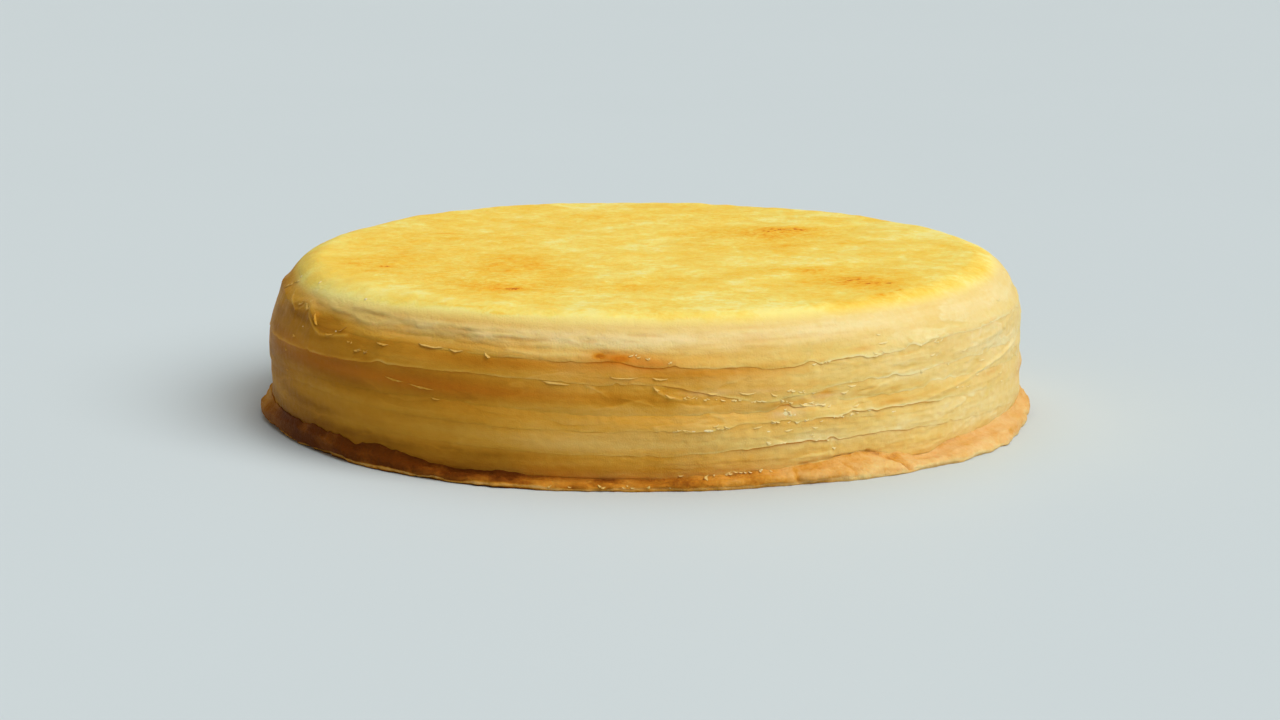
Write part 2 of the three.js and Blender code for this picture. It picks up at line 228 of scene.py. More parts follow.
TOP_MARKS = [
    [-62, 34, 3, 0.8, 0.5], [-57.5, 33, 1, 1, 0.4], [-77, -25, 2.2, 2, 0.4], [-88, -20, 4, 1.4, 0.24],
    [-44, -21, 1.6, 0.8, 0.4], [-37.5, -65, 3, 2.2, 0.34], [-32, -67, 3, 1.4, 0.24],
    [61, 15, 2.6, 0.7, 0.3], [69.5, 18.5, 2, 0.7, 0.34], [60, -46, 1.2, 1, 0.34], [63, -69, 2, 1, 0.3],
    [71, -56, 1.6, 1, 0.3], [5, -60, 1.4, 1.2, 0.2], [12, 33, 3.4, 1, 0.14],
]

# Thin brown cracks along the rim: [azimuth, half width, radius, half width in mm, strength].
RIM_MARKS = [
    [48, 9, 99.6, 0.6, 0.5], [42, 3, 101, 0.5, 0.4], [-31, 8, 102, 0.9, 0.3], [-24, 5, 104, 0.6, 0.24],
    [14, 2, 100, 0.4, 0.3], [-160, 20, 100, 0.6, 0.3], [100, 14, 101, 0.6, 0.3],
]

# Loose flakes of sheet on the side: [azimuth, height, length, width, rise along it, how far they curl out].
FLAKES = [
    [-66.5, 40.4, 4, 0.7, 0.3, 0.6], [-63.2, 40.4, 3.5, 0.7, -0.3, 0.6], [-58.6, 38.2, 3.6, 0.5, -0.8, 0.5],
    [-53.5, 35.5, 4.5, 0.45, 0.15, 0.4], [-51, 37.6, 3, 0.4, 0.6, 0.4],
    [-41.1, 36.2, 4.8, 0.45, -0.03, 0.4], [-32.5, 37.6, 9.5, 0.6, -0.06, 0.5],
    [-28, 36.9, 4.6, 0.4, 0, 0.3], [-22.8, 36.6, 2, 0.7, -0.6, 0.5], [-46, 33.2, 3.4, 0.5, 0.1, 0.4],
    [-38.2, 26.8, 7, 0.45, -0.12, 0.3], [-33.4, 25.7, 9, 0.4, -0.1, 0.3], [-30.9, 22.8, 3, 0.4, -0.1, 0.3],
    [-12.5, 30.3, 8, 0.6, -0.09, 0.4], [-2.8, 32, 8, 0.35, 0, 0.3], [2.2, 31.8, 4.5, 0.45, -0.07, 0.4],
    [1.7, 29, 2, 0.6, -0.6, 0.3], [3.6, 26.9, 3, 0.5, -0.35, 0.4], [9.5, 27.4, 3.2, 0.4, -0.1, 0.3],
    [14.5, 26.9, 5, 0.45, -0.05, 0.3], [16, 17.2, 2.6, 0.4, 0.2, 0.2], [23, 22.6, 3, 0.5, -0.2, 0.3],
    [20.6, 15.8, 2.8, 0.35, 0.15, 0.2], [24.6, 15.9, 2.2, 0.35, -0.2, 0.2], [18.4, 26.2, 2, 0.5, -0.4, 0.3],
    [29.6, 25, 2.4, 0.45, 0.2, 0.3], [31.5, 20.8, 2.4, 0.4, 0.2, 0.3], [37, 37.4, 4, 0.35, 0.05, 0.2],
    [60, 26, 4, 0.35, -0.05, 0.2],
]
RANDOM_FLAKES = 45
FLAKE_HEIGHTS = [10, 16.5, 21, 27.5, 32, 35.5, 40]  # near which the random ones lie
# Chains of tiny pale flecks of torn sheet, their paleness partly painted highlight: [azimuth and height of
# one end, the same of the other, count].
FLECKS = [
    [5.4, 26.4, 10.4, 25.8, 8], [10.4, 25.8, 17.7, 24.2, 10], [20.4, 27.6, 24.6, 25.6, 7],
    [24.4, 23, 27.3, 21.2, 6], [20.1, 21.9, 21.2, 20, 5], [17.7, 18.2, 24, 18.1, 10],
    [2.9, 17, 7.1, 17.4, 5], [9.3, 18.3, 12.3, 17.1, 7], [17.4, 12.5, 20.4, 12.4, 4],
    [24, 13.8, 25.7, 12.4, 4], [19.2, 24.3, 24.8, 22.6, 8], [25.2, 17.8, 34.8, 18.7, 10],
    [24.8, 12.4, 27.4, 11.9, 3], [27.9, 9.5, 28.8, 7.8, 3], [23.9, 34, 38.7, 35, 9],
    [40.8, 34.8, 49.1, 35.4, 5], [52, 20.8, 56.6, 19.4, 4], [42, 26.6, 44.3, 27.4, 4],
    [-82, 40, -75, 45, 14], [-50, 35.8, -44, 32.8, 6], [-3, 38.6, 4, 36.2, 7], [3, 3.4, 22, 4.6, 16],
    [-14, 1.6, 4, 1.6, 10], [110, 27, 150, 25, 12], [-170, 20, -140, 18, 10],
]
FLECK_PALENESS_AND_HIGHLIGHT = 0.18
FLAKE_STRETCH = (22, 300)  # the azimuths between which the random ones lie
FLAKE_THICKNESS = 0.16
FLAKE_ROWS, FLAKE_COLUMNS = 4, 9

# Smears of cream on the side: [azimuth, height, half length, half height, thickness]. The last four are
# painted glints: pale specks where the moist crepe catches the light.
SMEARS_AND_GLINTS = [
    [20.2, 20.5, 1.1, 0.8, 0.2], [21.2, 19.9, 1.4, 0.45, 0.2], [8.9, 17, 1.6, 0.5, 0.25],
    [6.6, 16.9, 2, 0.25, 0.12], [23.2, 22.6, 1, 0.4, 0.2], [25.4, 22.1, 1.3, 0.3, 0.2],
    [17.5, 15.7, 1.4, 0.25, 0.15], [-78, 44.5, 0.8, 0.5, 0.3], [47.5, 31.2, 1.2, 0.25, 0.15],
    [38.5, 17.2, 1.4, 0.25, 0.15], [128, 24, 1.2, 0.3, 0.15], [-140, 33, 1, 0.35, 0.15],
    [168, 14, 1.3, 0.25, 0.15], [-67, 46, 0.5, 0.4, 0.25], [-50, 45.8, 0.55, 0.3, 0.2],
    [-62.6, 34.9, 0.5, 0.3, 0.2], [-52.4, 36.6, 0.6, 0.25, 0.2],
]
SMEAR_ROWS, SMEAR_COLUMNS = 11, 15
SMEAR_RIM_DEPTH, SMEAR_BACK_DEPTH = 0.12, 0.35  # how far they are sunk in


# Noise.

def wander(azimuths, count, seed):
    """A smooth random value from -1 to 1 that changes count times round the cake."""
    values = np.random.default_rng(seed).uniform(-1, 1, count)
    place = azimuths % 360 / 360 * count
    first = np.floor(place).astype(int)
    part = place - first
    part = part * part * (3 - 2 * part)
    return values[first % count] * (1 - part) + values[(first + 1) % count] * part


def round_values(azimuths, table):
    """The value at each azimuth between those of a table of [azimuth, value], smooth all round."""
    places, values = np.array(table).T
    places = np.append(places, places[0] + 360)
    values = np.append(values, values[0])
    turn = (azimuths - places[0]) % 360 + places[0]
    first = np.clip(np.searchsorted(places, turn, side="right") - 1, 0, len(places) - 2)
    part = (turn - places[first]) / (places[first + 1] - places[first])
    part = part * part * (3 - 2 * part)
    return values[first] * (1 - part) + values[first + 1] * part


def waves(points, seed, shortest, longest, count=36):
    """Random waves through space, about -1 to 1, with lengths between those given, at points [x, y, z]."""
    rng = np.random.default_rng(seed)
    direction = rng.normal(size=(count, 3))
    direction /= np.linalg.norm(direction, axis=1)[:, None]
    length = np.exp(rng.uniform(math.log(shortest), math.log(longest), count))
    phase = rng.uniform(0, FULL_TURN, count)
    strength = np.sqrt(length) / math.sqrt(length.sum() / 2)
    turns = FULL_TURN * direction / length[:, None]
    return np.sin(points @ turns.T + phase) @ strength / 1.6


def streaks(points, seed, shortest, longest, flatness):
    """Waves that are drawn out level: flatness times as long as they are high."""
    return waves(points * [1 / flatness, 1 / flatness, 1], seed, shortest, longest)


# Shapes on the unrolled side.

def turn_between(azimuths, centre):
    """How far the azimuths are from the centre, from -180 to 180."""
    return (azimuths - centre + 540) % 360 - 180


def bell(distance):
    return np.exp(-distance * distance)


def near(azimuths, centre, half_width):
    """1 at the centre, falling softly to 0 on both sides."""
    return bell(turn_between(azimuths, centre) / half_width)


def side_spots(azimuths, heights, spots):
    """The sum of soft spots, each [azimuth, half width in degrees, height, half height, strength]."""
    total = np.zeros_like(heights)
    for centre, half_width, height, half_height, strength in spots:
        total += strength * near(azimuths, centre, half_width) * bell((heights - height) / half_height)
    return total


def distance_to_line(azimuths, heights, line):
    """The distance in mm, on the unrolled side, to a line of [azimuth, height] points."""
    across = turn_between(azimuths, line[0][0]) * MM_PER_DEGREE
    nearest = np.full(heights.shape, np.inf)
    for (first, low), (second, high) in zip(line, line[1:]):
        start = turn_between(first, line[0][0]) * MM_PER_DEGREE
        step = (second - first) * MM_PER_DEGREE
        rise = high - low
        share = ((across - start) * step + (heights - low) * rise) / (step * step + rise * rise)
        share = np.clip(share, 0, 1)
        away = np.hypot(across - start - share * step, heights - low - share * rise)
        nearest = np.minimum(nearest, away)
    return nearest


def random_rows(seed, count, *ranges):
    """Rows of random values, each within its own range."""
    rng = np.random.default_rng(seed)
    return [[rng.uniform(low, high) for low, high in ranges] for _ in range(count)]


def ragged_lip(band):
    """How much higher than the solid's each point of a band's lower edge is."""
    lip = LIPS[band]
    seed = lip["seed"]
    rise = lip["slow"] * (wander(AZIMUTHS, 60, seed) + 0.6 * wander(AZIMUTHS, 170, seed + 100))
    patchy = 0.5 + 0.5 * wander(AZIMUTHS, 30, seed + 300)
    rise += lip["quick"] * patchy * wander(AZIMUTHS, 420, seed + 200)
    rise *= 0.4 + raggedness(AZIMUTHS)
    for centre, half_width, height in lip["tears"] + random_rows(seed + 400, *RANDOM_TEARS):
        away = np.abs(turn_between(AZIMUTHS, centre)) / half_width
        rise += height * np.clip(1.4 - away, 0, 1)
    return rise


def lip_step(band):
    """How far a lip stands out from what lies under it."""
    lip = LIPS[band]
    step = np.full(STEPS, lip["step"])
    for centre, half_width, more in lip["steps"]:
        step += more * bell((turn_between(AZIMUTHS, centre) / half_width) ** 4)
    broken = 0.6 + 0.9 * wander(AZIMUTHS, 50, lip["seed"] + 500)
    broken += 0.5 * wander(AZIMUTHS, 120, lip["seed"] + 510)
    return np.maximum(step * np.clip(broken, 0, 1.5), LEAST_STEP)


def lip_flare(band):
    """How far a lip curls out."""
    lip = LIPS[band]
    flare = np.zeros(STEPS)
    for centre, half_width, reach in lip["flares"] + random_rows(lip["seed"] + 600, *RANDOM_FLARES):
        flare = np.maximum(flare, reach * near(AZIMUTHS, centre, half_width))
    return flare * np.clip(lip_step(band) / FULLY_FLARED_STEP, 0, 1)


def painted_lip_highlight(band, above_lip):
    """How pale the thin edge of a lip is painted, at heights above it: a painted highlight where it catches
    the light.
    """
    strength = np.zeros(STEPS)
    for centre, half_width, more in LIPS[band]["pale"]:
        strength += more * near(AZIMUTHS, centre, half_width)
    strength *= 0.7 + 0.5 * wander(AZIMUTHS, 90, LIPS[band]["seed"] + 700)
    reach = np.where(above_lip > 0, HIGHLIGHT_ABOVE, HIGHLIGHT_BELOW)
    return np.clip(strength, 0, 1)[:, None] * bell(above_lip / reach)


def colour_lip(band, heights, edge_row, pale, amber):
    """Paints a highlight on the thin edge of a lip, making it paler,
    and painted shade on its underside, making it more amber.
    """
    pale += painted_lip_highlight(band, heights - heights[:, edge_row][:, None])
    # The lip's underside is painted amber, as shade.
    amber[:, edge_row + LIP_BOTTOM_ROW - 1:edge_row + LIP_ROWS] += 0.35 + 3 * lip_step(band)[:, None]


def painted_shade_under_lip(band, below):
    """How amber the crepe is painted at heights below the lip of the band above, most of all just under it.
    It is painted shade cast by that lip, deeper where the lip stands out further.
    """
    above = BANDS[BANDS.index(band) - 1]
    strength = 0.15 + 7 * lip_step(above)
    strength *= 0.7 + 0.5 * wander(AZIMUTHS, 70, LIPS[above]["seed"] + 800)
    glow = 0.26 * np.exp(-np.clip(below, 0, None) / 1.1) + 0.4 * bell(below / 0.35)
    return strength[:, None] * glow * (below > -1)


def sheet_edges(band, azimuths, heights):
    """How far thin sheets stand out. Each is thickest at its ragged lower edge and ends there."""
    total = np.zeros_like(heights)
    for number, (centre, half_width, height, proud) in enumerate(SHEET_EDGES[band]):
        seed = 1000 + 50 * number + len(band)
        line = height + 0.7 * wander(azimuths, 26, seed) + 0.3 * wander(azimuths, 90, seed + 1)
        line += 0.18 * wander(azimuths, 330, seed + 2)
        above = heights - line
        reach = bell((turn_between(azimuths, centre) / half_width) ** 2)
        reach *= 0.75 + 0.35 * wander(azimuths, 48, seed + 3)
        thinning = np.exp(-np.clip(above, 0, None) / 2.2)
        ending = 1 + np.exp(-np.clip(above, -3, 3) / 0.07)
        total += proud * reach * thinning / ending
    return total


def line_relief(azimuths, heights):
    """How far the lines stand out, in mm, and how pale they are."""
    relief, pale = np.zeros_like(heights), np.zeros_like(heights)
    for line, half_width, height, paleness in LINES:
        on_line = bell(distance_to_line(azimuths, heights, line) / half_width)
        relief += height * on_line
        pale += paleness * on_line
    return relief, pale


def crumples(azimuths, points, seed):
    """Thin sheets that overlap in patches: their steps and creases in mm, and how pale they are. The
    paleness is painted light: highlight on the upper sheet and its brink, shade on the lower one and in
    creases.
    """
    level = streaks(points, seed, 4, 11, 4.5) + 0.2 * streaks(points, seed + 1, 1.5, 4, 2.5)
    fade = raggedness(azimuths) * np.clip(0.3 + 0.9 * waves(points, seed + 2, 12, 30), 0, 1)
    sheet = np.tanh(level / 0.16)
    crease = bell((level + 0.14) / 0.12)
    brink = bell((level - 0.12) / 0.12)
    return fade * (0.1 * sheet - 0.1 * crease), fade * (0.16 * sheet + 0.35 * brink - 0.2 * crease)


# Meshes from the outlines of the solids.

def solid_outlines(name):
    """A solid's outline [radius, height] at each of its azimuths, from the axis round to the axis again."""
    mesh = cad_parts[name].data
    places = np.empty(3 * len(mesh.vertices))
    mesh.vertices.foreach_get("co", places)
    points, index = np.unique(np.round(places.reshape(-1, 3) / MM, 3), axis=0, return_inverse=True)
    edges = np.empty(2 * len(mesh.edges), int)
    mesh.edges.foreach_get("vertices", edges)
    edges = index.ravel()[edges].reshape(-1, 2)
    radius = np.hypot(points[:, 0], points[:, 1])
    on_axis = radius < 0.01
    degrees = np.round(np.degrees(np.arctan2(points[:, 0], -points[:, 1])) % 360, 1) % 360
    top, bottom = sorted(np.flatnonzero(on_axis), key=lambda i: -points[i, 2])
    beside = {}
    for a, b in edges:
        if on_axis[a] or on_axis[b] or degrees[a] == degrees[b]:
            beside.setdefault(a, []).append(b)
            beside.setdefault(b, []).append(a)
    outlines = []
    for azimuth in np.unique(degrees[~on_axis]):
        path = [top]
        while True:
            beyond = [i for i in beside[path[-1]] if i not in path and not on_axis[i]]
            onward = [i for i in beyond if degrees[i] == azimuth]
            if not onward:
                break
            path.append(onward[0])
        path.append(bottom)
        outlines.append(np.column_stack([radius[path], points[path, 2]]))
    return np.array(outlines)


def unit(vectors):
    return vectors / np.maximum(np.linalg.norm(vectors, axis=-1, keepdims=True), 1e-9)


def curve_between(start, end, leave, arrive, part):
    """The point at a share of the way from start to end, on a curve that leaves and arrives as given."""
    smooth = part * part * (3 - 2 * part)
    out, into = part * (1 - part) ** 2, part * part * (part - 1)
    return start + (end - start) * smooth + leave * out + arrive * into


def round_the_cake(outlines):
    """The outlines at every azimuth of the fine mesh."""
    count = len(outlines)
    place = np.arange(STEPS) * count / STEPS
    first = np.floor(place).astype(int)
    part = (place - first)[:, None, None]
    before, start, end, after = (outlines[(first + k) % count] for k in (-1, 0, 1, 2))
    return curve_between(start, end, (end - before) / 2, (after - start) / 2, part)


def rows_along(outlines, rows, round_from, round_to):
    """Puts rows[k] rows on the stretch after point k, on a smooth curve where it is round, else straight."""
    made = []
    ways = unit(np.diff(outlines, axis=1))
    for k, count in enumerate(rows):
        start, end = outlines[:, k], outlines[:, k + 1]
        span = np.linalg.norm(end - start, axis=1, keepdims=True)
        after = min(k + 1, len(rows) - 1)
        leave = ways[:, k - 1] if k == round_from else unit(ways[:, k - 1] + ways[:, k])
        arrive = ways[:, k] if k + 1 == round_to else unit(ways[:, k] + ways[:, after])
        for part in np.arange(count) / count:
            if round_from <= k < round_to:
                made.append(curve_between(start, end, leave * span, arrive * span, part))
            else:
                made.append(start + (end - start) * part)
    made.append(outlines[:, -1])
    return np.stack(made, axis=1)


def outward(profile):
    """The direction that each point of a profile faces."""
    along = np.gradient(profile, axis=1)
    along /= np.maximum(np.linalg.norm(along, axis=2), 1e-9)[:, :, None]
    return np.stack([-along[:, :, 1], along[:, :, 0]], axis=2)


def in_space(radius, azimuths, heights):
    turn = np.radians(azimuths)
    return np.stack([radius * np.sin(turn), -radius * np.cos(turn), heights], axis=-1)


def profile_in_space(profile):
    return in_space(profile[:, :, 0], AZIMUTHS[:, None], profile[:, :, 1])


def azimuths_of(profile):
    return np.repeat(AZIMUTHS[:, None], profile.shape[1], axis=1)


def share_between(profile, first, last):
    """How far each row of a profile is on the way from the first to the last, from 0 to 1."""
    return np.clip((np.arange(profile.shape[1]) - first) / (last - first), 0, 1)


def new_object(name, data):
    made = bpy.data.objects.new(name, data)
    bpy.context.scene.collection.objects.link(made)
    return made


def mesh_object(name, points, faces, attributes, finish):
    """A smooth mesh that rides on the cake, from points in mm."""
    mesh = bpy.data.meshes.new(name)
    mesh.from_pydata((np.asarray(points) * MM).tolist(), [], faces)
    for key, values in attributes.items():
        layer = mesh.attributes.new(key, "FLOAT", "POINT")
        layer.data.foreach_set("value", np.asarray(values, np.float32).ravel())
    mesh.shade_smooth()
    mesh.materials.append(finish)
    piece = new_object(name, mesh)
    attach(piece, "root")
    return piece


def revolved(name, profile, attributes, finish):
    """The closed mesh of a profile that starts and ends on the axis. It replaces the solid."""
    space = profile_in_space(profile)
    inner = space[:, 1:-1]
    rows = inner.shape[1]
    points = np.concatenate([inner.reshape(-1, 3), [space[:, 0].mean(0), space[:, -1].mean(0)]])
    top, bottom = len(points) - 2, len(points) - 1
    here = np.arange(STEPS)[:, None] * rows + np.arange(rows - 1)
    there = np.roll(here, -1, axis=0)
    quads = np.stack([here, here + 1, there + 1, there], axis=2).reshape(-1, 4).tolist()
    first = np.arange(STEPS) * rows
    after = np.roll(first, -1)
    caps = [[top, a, b] for a, b in zip(first.tolist(), after.tolist())]
    caps += [[bottom, b, a] for a, b in zip((first + rows - 1).tolist(), (after + rows - 1).tolist())]
    values = {}
    for key, value in attributes.items():
        value = value[:, 1:-1].reshape(-1)
        values[key] = np.append(value, [value[0], value[rows - 1]])
    piece = mesh_object(name, points, quads + caps, values, finish)
    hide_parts(name)
    return piece


def slab(outer, inner):
    """The points and faces of a closed skin between two grids [down, along, xyz] of points."""
    rows, columns = outer.shape[:2]
    front = np.arange(rows * columns).reshape(rows, columns)
    back = front + rows * columns

    def strip(a, b, c, d):
        return np.stack([a, b, c, d], axis=-1).reshape(-1, 4)

    faces = [
        strip(front[:-1, :-1], front[1:, :-1], front[1:, 1:], front[:-1, 1:]),
        strip(back[:-1, :-1], back[:-1, 1:], back[1:, 1:], back[1:, :-1]),
        strip(front[0, :-1], front[0, 1:], back[0, 1:], back[0, :-1]),
        strip(front[-1, 1:], front[-1, :-1], back[-1, :-1], back[-1, 1:]),
        strip(front[1:, 0], front[:-1, 0], back[:-1, 0], back[1:, 0]),
        strip(front[:-1, -1], front[1:, -1], back[1:, -1], back[:-1, -1]),
    ]
    return np.concatenate([outer.reshape(-1, 3), inner.reshape(-1, 3)]), np.concatenate(faces)


def joined(slabs):
    """Several slabs as one set of points and faces."""
    points, faces, count = [], [], 0
    for places, sides in slabs:
        points.append(places)
        faces.extend((sides + count).tolist())
        count += len(places)
    return np.concatenate(points), faces


class Side:
    """How far out the cake's side reaches, at each azimuth and height."""

    levels_per_mm = 4

    def __init__(self):
        self.radius = np.zeros((STEPS, 50 * self.levels_per_mm))

    def add(self, profile, first, last):
        """Takes in the rows of a profile between two of them."""
        for row in range(first, last):
            for share in (0, 0.25, 0.5, 0.75):
                place = profile[:, row] * (1 - share) + profile[:, row + 1] * share
                level = np.round(place[:, 1] * self.levels_per_mm).astype(int)
                here = (np.arange(STEPS), np.clip(level, 0, self.radius.shape[1] - 1))
                self.radius[here] = np.maximum(self.radius[here], place[:, 0])

    def at(self, azimuths, heights):
        column = np.round(azimuths / 360 * STEPS).astype(int) % STEPS
        level = np.clip(heights * self.levels_per_mm, 0, self.radius.shape[1] - 2)
        low = np.floor(level).astype(int)
        part = level - low
        return self.radius[column, low] * (1 - part) + self.radius[column, low + 1] * part


# Browning, cream and relief of the side.

def side_browning_and_shade(azimuths, heights):
    """How browned the side is, from 0 pale to 1 brown; on the left partly painted shade."""
    level = round_values(azimuths, SIDE_LEVELS) + side_spots(azimuths, heights, BROWNED)
    points = in_space(np.full(heights.shape, SIDE_RADIUS), azimuths, heights)
    return level + 0.05 * streaks(points, 950, 3, 9, 8)


def raggedness(azimuths):
    """How rough the side is. The right of the front is rougher than the left."""
    return 0.22 + 0.8 * near(azimuths, 38, 48) + 0.35 * near(azimuths, 160, 60)


def side_relief(band, azimuths, heights, points, seed):
    """Sheet edges, lines, hollows and the fine unevenness of a side, in mm, and how pale its edges are,
    with the painted highlights and shade of its crumpled sheets.
    """
    relief = sheet_edges(band, azimuths, heights)
    line_height, line_pale = line_relief(azimuths, heights)
    crumpled, crumple_pale = crumples(azimuths, points, seed + 5)
    relief += line_height + crumpled
    for centre, height, half_width, half_height, reach in HOLLOWS:
        across = turn_between(azimuths, centre) * MM_PER_DEGREE / half_width
        relief += reach * bell(across) * bell((heights - height) / half_height)
    rough = raggedness(azimuths)
    relief += 0.22 * streaks(points, 900, 7, 16, 3)
    relief += 0.05 * rough * streaks(points, seed, 1.6, 5, 6)
    relief += 0.05 * rough * streaks(points, seed + 1, 0.9, 2, 3)
    relief += 0.06 * rough * waves(points, seed + 2, 1.7, 3.4)
    return relief, line_pale + crumple_pale


# The bands.

BAND_SEED = 31  # of the first band under the top crepe
BULGE = 0.2  # of a band's side
START = [-0.05, 0.25]  # where a band's side starts, from the hem of the band above it
TUCKED = [-0.35, 1]  # and the point before it, hidden behind that hem

# Where the side of each band starts in its outline, and the rows of mesh on every stretch of it.
BAND_ROWS = {
    "fifth_layer": [5, [1, 1, 1, 2, 2, 30, 3, 3, 2, 1]],
    "fourth_layer": [3, [1, 2, 2, 28, 3, 3, 2, 1]],
    "third_layer": [3, [1, 2, 2, 22, 3, 3, 2, 1]],
    "second_layer": [3, [1, 2, 2, 26, 3, 3, 2, 1]],
    "first_layer": [3, [1, 2, 2, 26, 3, 1]],
}


def thin_lip(outlines, edge, band):
    """Turns the solid's thick lip, whose outermost point is number edge, into a thin ragged one."""
    bottom = outlines[:, edge + 1, 1] + ragged_lip(band)
    radius = outlines[:, edge, 0].copy()
    step = lip_step(band)
    rounding = LIP_ROUNDING * np.clip(step / FULLY_ROUNDED_STEP, 0.2, 1)
    outlines[:, edge, 1] = bottom + rounding
    outlines[:, edge + 1] = np.column_stack([radius - 0.3 * step, bottom])
    outlines[:, edge + 2] = np.column_stack([radius - step, bottom + 0.3 * rounding])


def curl_out(profile, edge_row, band):
    """Bends the end of a lip outward where it flares. Returns its hem, which is where its back was before."""
    bottom_row = edge_row + LIP_BOTTOM_ROW
    back = profile[:, bottom_row:edge_row + LIP_ROWS, 0].min(axis=1)
    hem = np.column_stack([back, profile[:, bottom_row, 1]])
    above = profile[:, :, 1] - hem[:, 1][:, None]
    rows = np.arange(profile.shape[1])
    bent = np.clip(1 - above / CURL_HEIGHT, 0, 1) ** 2
    bent *= (rows > edge_row - CURL_ROWS) * (rows < edge_row + LIP_ROWS)
    profile[:, :, 0] += lip_flare(band)[:, None] * bent
    return hem


def band_piece(band, hem, side, finish, seed):
    """A band whose side starts under the hem of the band above, and its own lip. Returns its own hem."""
    start, rows = BAND_ROWS[band]
    outlines = round_the_cake(solid_outlines(band))
    outlines[:, start] = hem + START
    outlines[:, start - 1] = hem + TUCKED
    has_lip = band in LIPS
    if has_lip:
        thin_lip(outlines, start + 1, band)
    profile = rows_along(outlines, rows, start + 1, start + (3 if has_lip else 2))
    first = sum(rows[:start])
    last = first + rows[start]
    azimuths = azimuths_of(profile)
    heights = profile[:, :, 1]
    shown = np.zeros_like(heights)
    shown[:, first:last + LIP_ROWS] = 1
    share = share_between(profile, first, last)
    relief, pale = side_relief(band, azimuths, heights, profile_in_space(profile), seed)
    relief += BULGE * np.sin(math.pi * share) - relief[:, first:first + 1] * (1 - share)
    profile[:, :, 0] += shown * relief
    own_hem = curl_out(profile, last, band) if has_lip else None
    side.add(profile, first, last + LIP_BOTTOM_ROW + 1)
    amber = side_spots(azimuths, heights, AMBER)
    # Painted shade, in amber, below the lip of the band above.
    amber += painted_shade_under_lip(band, heights[:, first][:, None] - heights)
    if has_lip:
        colour_lip(band, heights, last, pale, amber)
    attributes = {
        # Browning, on the left partly painted shade.
        "browning": side_browning_and_shade(azimuths, heights),
        "amber": amber,
        "cream": side_spots(azimuths, heights, CREAMY),
        # edge: paler edges, with the painted highlights on the lips and the painted light of crumpled sheets.
        "edge": pale * shown,
        "texture": raggedness(azimuths),
    }
    revolved(band, profile, attributes, finish)
    return own_hem


# The top crepe.

TOP_ROWS = [10, 24, 8, 8, 7, 6, 14, 3, 3, 1, 1, 1, 1]
TOP_LIP = 7  # the point of the outline that is the lip's outermost
TOP_BROWNING = 0.2  # where there are no spots
RIM_RADIUS = 109
RIM_HALF_WIDTH = 4.5
TOP_BEGINS = 44  # the height where the side's relief starts to give way to the top's
TOP_BLEND = 4  # and over what height it does
SIDE_COLOUR_ENDS = 47.4  # the height below which the side's colour starts to show
SIDE_COLOUR_BLEND = 2.6
CREAM_ENDS = 46.5
CREAM_BLEND = 3
WRINKLES_HEIGHT = 41.6  # of the middle of the wrinkles on the front of the shoulder
WRINKLES_HALF_HEIGHT = 3.6
MOTTLING_FADE = 7  # the width over which the mottling fades towards the rim


def top_browning(points):
    """How browned the top is, from 0 pale to 1 dark brown, paler along the rim: partly paler crepe,
    partly a painted highlight where the rim faces the light.
    """
    x, y = points[:, :, 0], points[:, :, 1]
    total = np.full_like(x, TOP_BROWNING)
    for centre_x, centre_y, half_x, half_y, strength in TOP_BROWNED + TOP_MARKS:
        total += strength * bell((x - centre_x) / half_x) * bell((y - centre_y) / half_y)
    azimuths, radius = np.degrees(np.arctan2(x, -y)), np.hypot(x, y)
    # The pale rim: partly paler crepe, partly painted highlight, strongest on the front left and the right.
    rim_paleness_and_highlight = 0.08 + 0.12 * near(azimuths, 60, 40) + 0.22 * near(azimuths, -30, 50)
    rim_paleness_and_highlight -= 0.16 * near(azimuths, -78, 20)
    total -= rim_paleness_and_highlight * bell((radius - RIM_RADIUS) / RIM_HALF_WIDTH)
    broken = np.clip(waves(points, 47, 1, 4) + 0.3, 0, 1)
    for centre, half_width, middle, half, strength in RIM_MARKS:
        total += strength * broken * near(azimuths, centre, half_width) * bell((radius - middle) / half)
    return total


def mottled_radius(azimuths):
    """Where the mottling of the top begins to fade. It reaches furthest on the right."""
    return 99 + 6 * near(azimuths, 85, 55) - 10 * near(azimuths, -80, 35)


